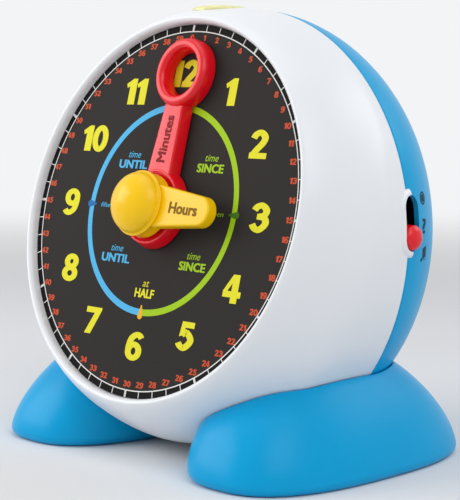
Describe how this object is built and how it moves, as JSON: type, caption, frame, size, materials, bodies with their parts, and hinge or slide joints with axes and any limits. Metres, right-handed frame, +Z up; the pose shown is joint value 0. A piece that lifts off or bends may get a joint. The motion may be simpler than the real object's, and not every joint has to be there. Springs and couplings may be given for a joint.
{
  "type": "talking teaching clock",
  "caption": "Round teaching clock that leans back on two moulded feet, with hour and minute hands turned by hand, a top button and a side slider.",
  "frame": {"origin": "on the floor, midway between the feet and midway along them", "axes": "+Z up, -Y towards the viewer of the dial, +X towards the mode slider"},
  "size_m": [0.2152, 0.1514, 0.2158],
  "materials": {
    "white_plastic": "white moulded ABS, glossy",
    "blue_plastic": "sky blue moulded ABS, glossy",
    "blue_cover_plastic": "sky blue moulded ABS, finely textured",
    "printed_dial": "charcoal printed sheet, satin",
    "red_plastic": "red moulded ABS, glossy",
    "yellow_plastic": "yellow moulded ABS, glossy",
    "clear_yellow_plastic": "pale yellow see-through plastic, glossy",
    "white_gear_plastic": "natural acetal",
    "black_plastic": "black moulded ABS",
    "steel": "zinc-plated steel",
    "circuit_board": "green solder mask",
    "lamp_lens": "clear epoxy",
    "cell_jacket": "plain printed jacket of a cell",
    "speaker_paper": "pressed paper"
  },
  "bodies": {
    "clock_case": {"battery_1": "cell_jacket", "battery_2": "cell_jacket", "battery_3": "cell_jacket", "battery_box": "black_plastic", "battery_contact_left": "steel", "battery_contact_right": "steel", "battery_door": "blue_plastic", "battery_door_screw": "steel", "button_board": "circuit_board", "button_board_screw_left": "steel", "button_board_screw_right": "steel", "button_lamp": "lamp_lens", "button_spring": "steel", "button_switch": "black_plastic", "dial_face": "printed_dial", "encoder_board": "circuit_board", "encoder_screw_1": "steel", "encoder_screw_2": "steel", "encoder_screw_3": "steel", "front_housing": "white_plastic", "housing_screw_1": "steel", "housing_screw_2": "steel", "housing_screw_3": "steel", "housing_screw_4": "steel", "left_foot": "blue_plastic", "left_foot_cover": "blue_cover_plastic", "left_foot_screw_front": "steel", "left_foot_screw_rear": "steel", "main_board": "circuit_board", "main_board_screw_1": "steel", "main_board_screw_2": "steel", "main_board_screw_3": "steel", "main_board_screw_4": "steel", "mode_board": "circuit_board", "mode_switch": "black_plastic", "rear_housing": "blue_plastic", "right_foot": "blue_plastic", "right_foot_cover": "blue_cover_plastic", "right_foot_screw_front": "steel", "right_foot_screw_rear": "steel", "speaker_basket": "black_plastic", "speaker_cone": "speaker_paper", "speaker_magnet": "steel"},
    "minute_hand": {"minute_hand": "red_plastic", "minute_shaft": "white_gear_plastic", "minute_encoder_disc": "black_plastic"},
    "hour_hand": {"hour_hand": "yellow_plastic", "hour_shaft": "steel", "hour_encoder_disc": "black_plastic", "shaft_clip": "steel"},
    "top_button": {"top_button": "clear_yellow_plastic"},
    "mode_slider": {"mode_slider": "red_plastic", "mode_switch_lever": "white_gear_plastic"}
  },
  "joints": [
    {"name": "minute_hand_spin", "type": "hinge", "parent": "clock_case", "child": "minute_hand", "pos_m": [0, -0.0469, 0.1187], "axis": [0, -0.9686, 0.2487], "continuous": true},
    {"name": "hour_hand_spin", "type": "hinge", "parent": "clock_case", "child": "hour_hand", "pos_m": [0, -0.0469, 0.1187], "axis": [0, -0.9686, 0.2487], "continuous": true},
    {"name": "top_button_press", "type": "slide", "parent": "clock_case", "child": "top_button", "axis": [0, 0, -1], "range_m": [0, 0.0022], "stiffness_N_per_m": 300, "springref_m": -0.002, "deforming": ["button_spring"]},
    {"name": "mode_slide", "type": "slide", "parent": "clock_case", "child": "mode_slider", "axis": [0, 0, 1], "range_m": [0, 0.013]}
  ]
}
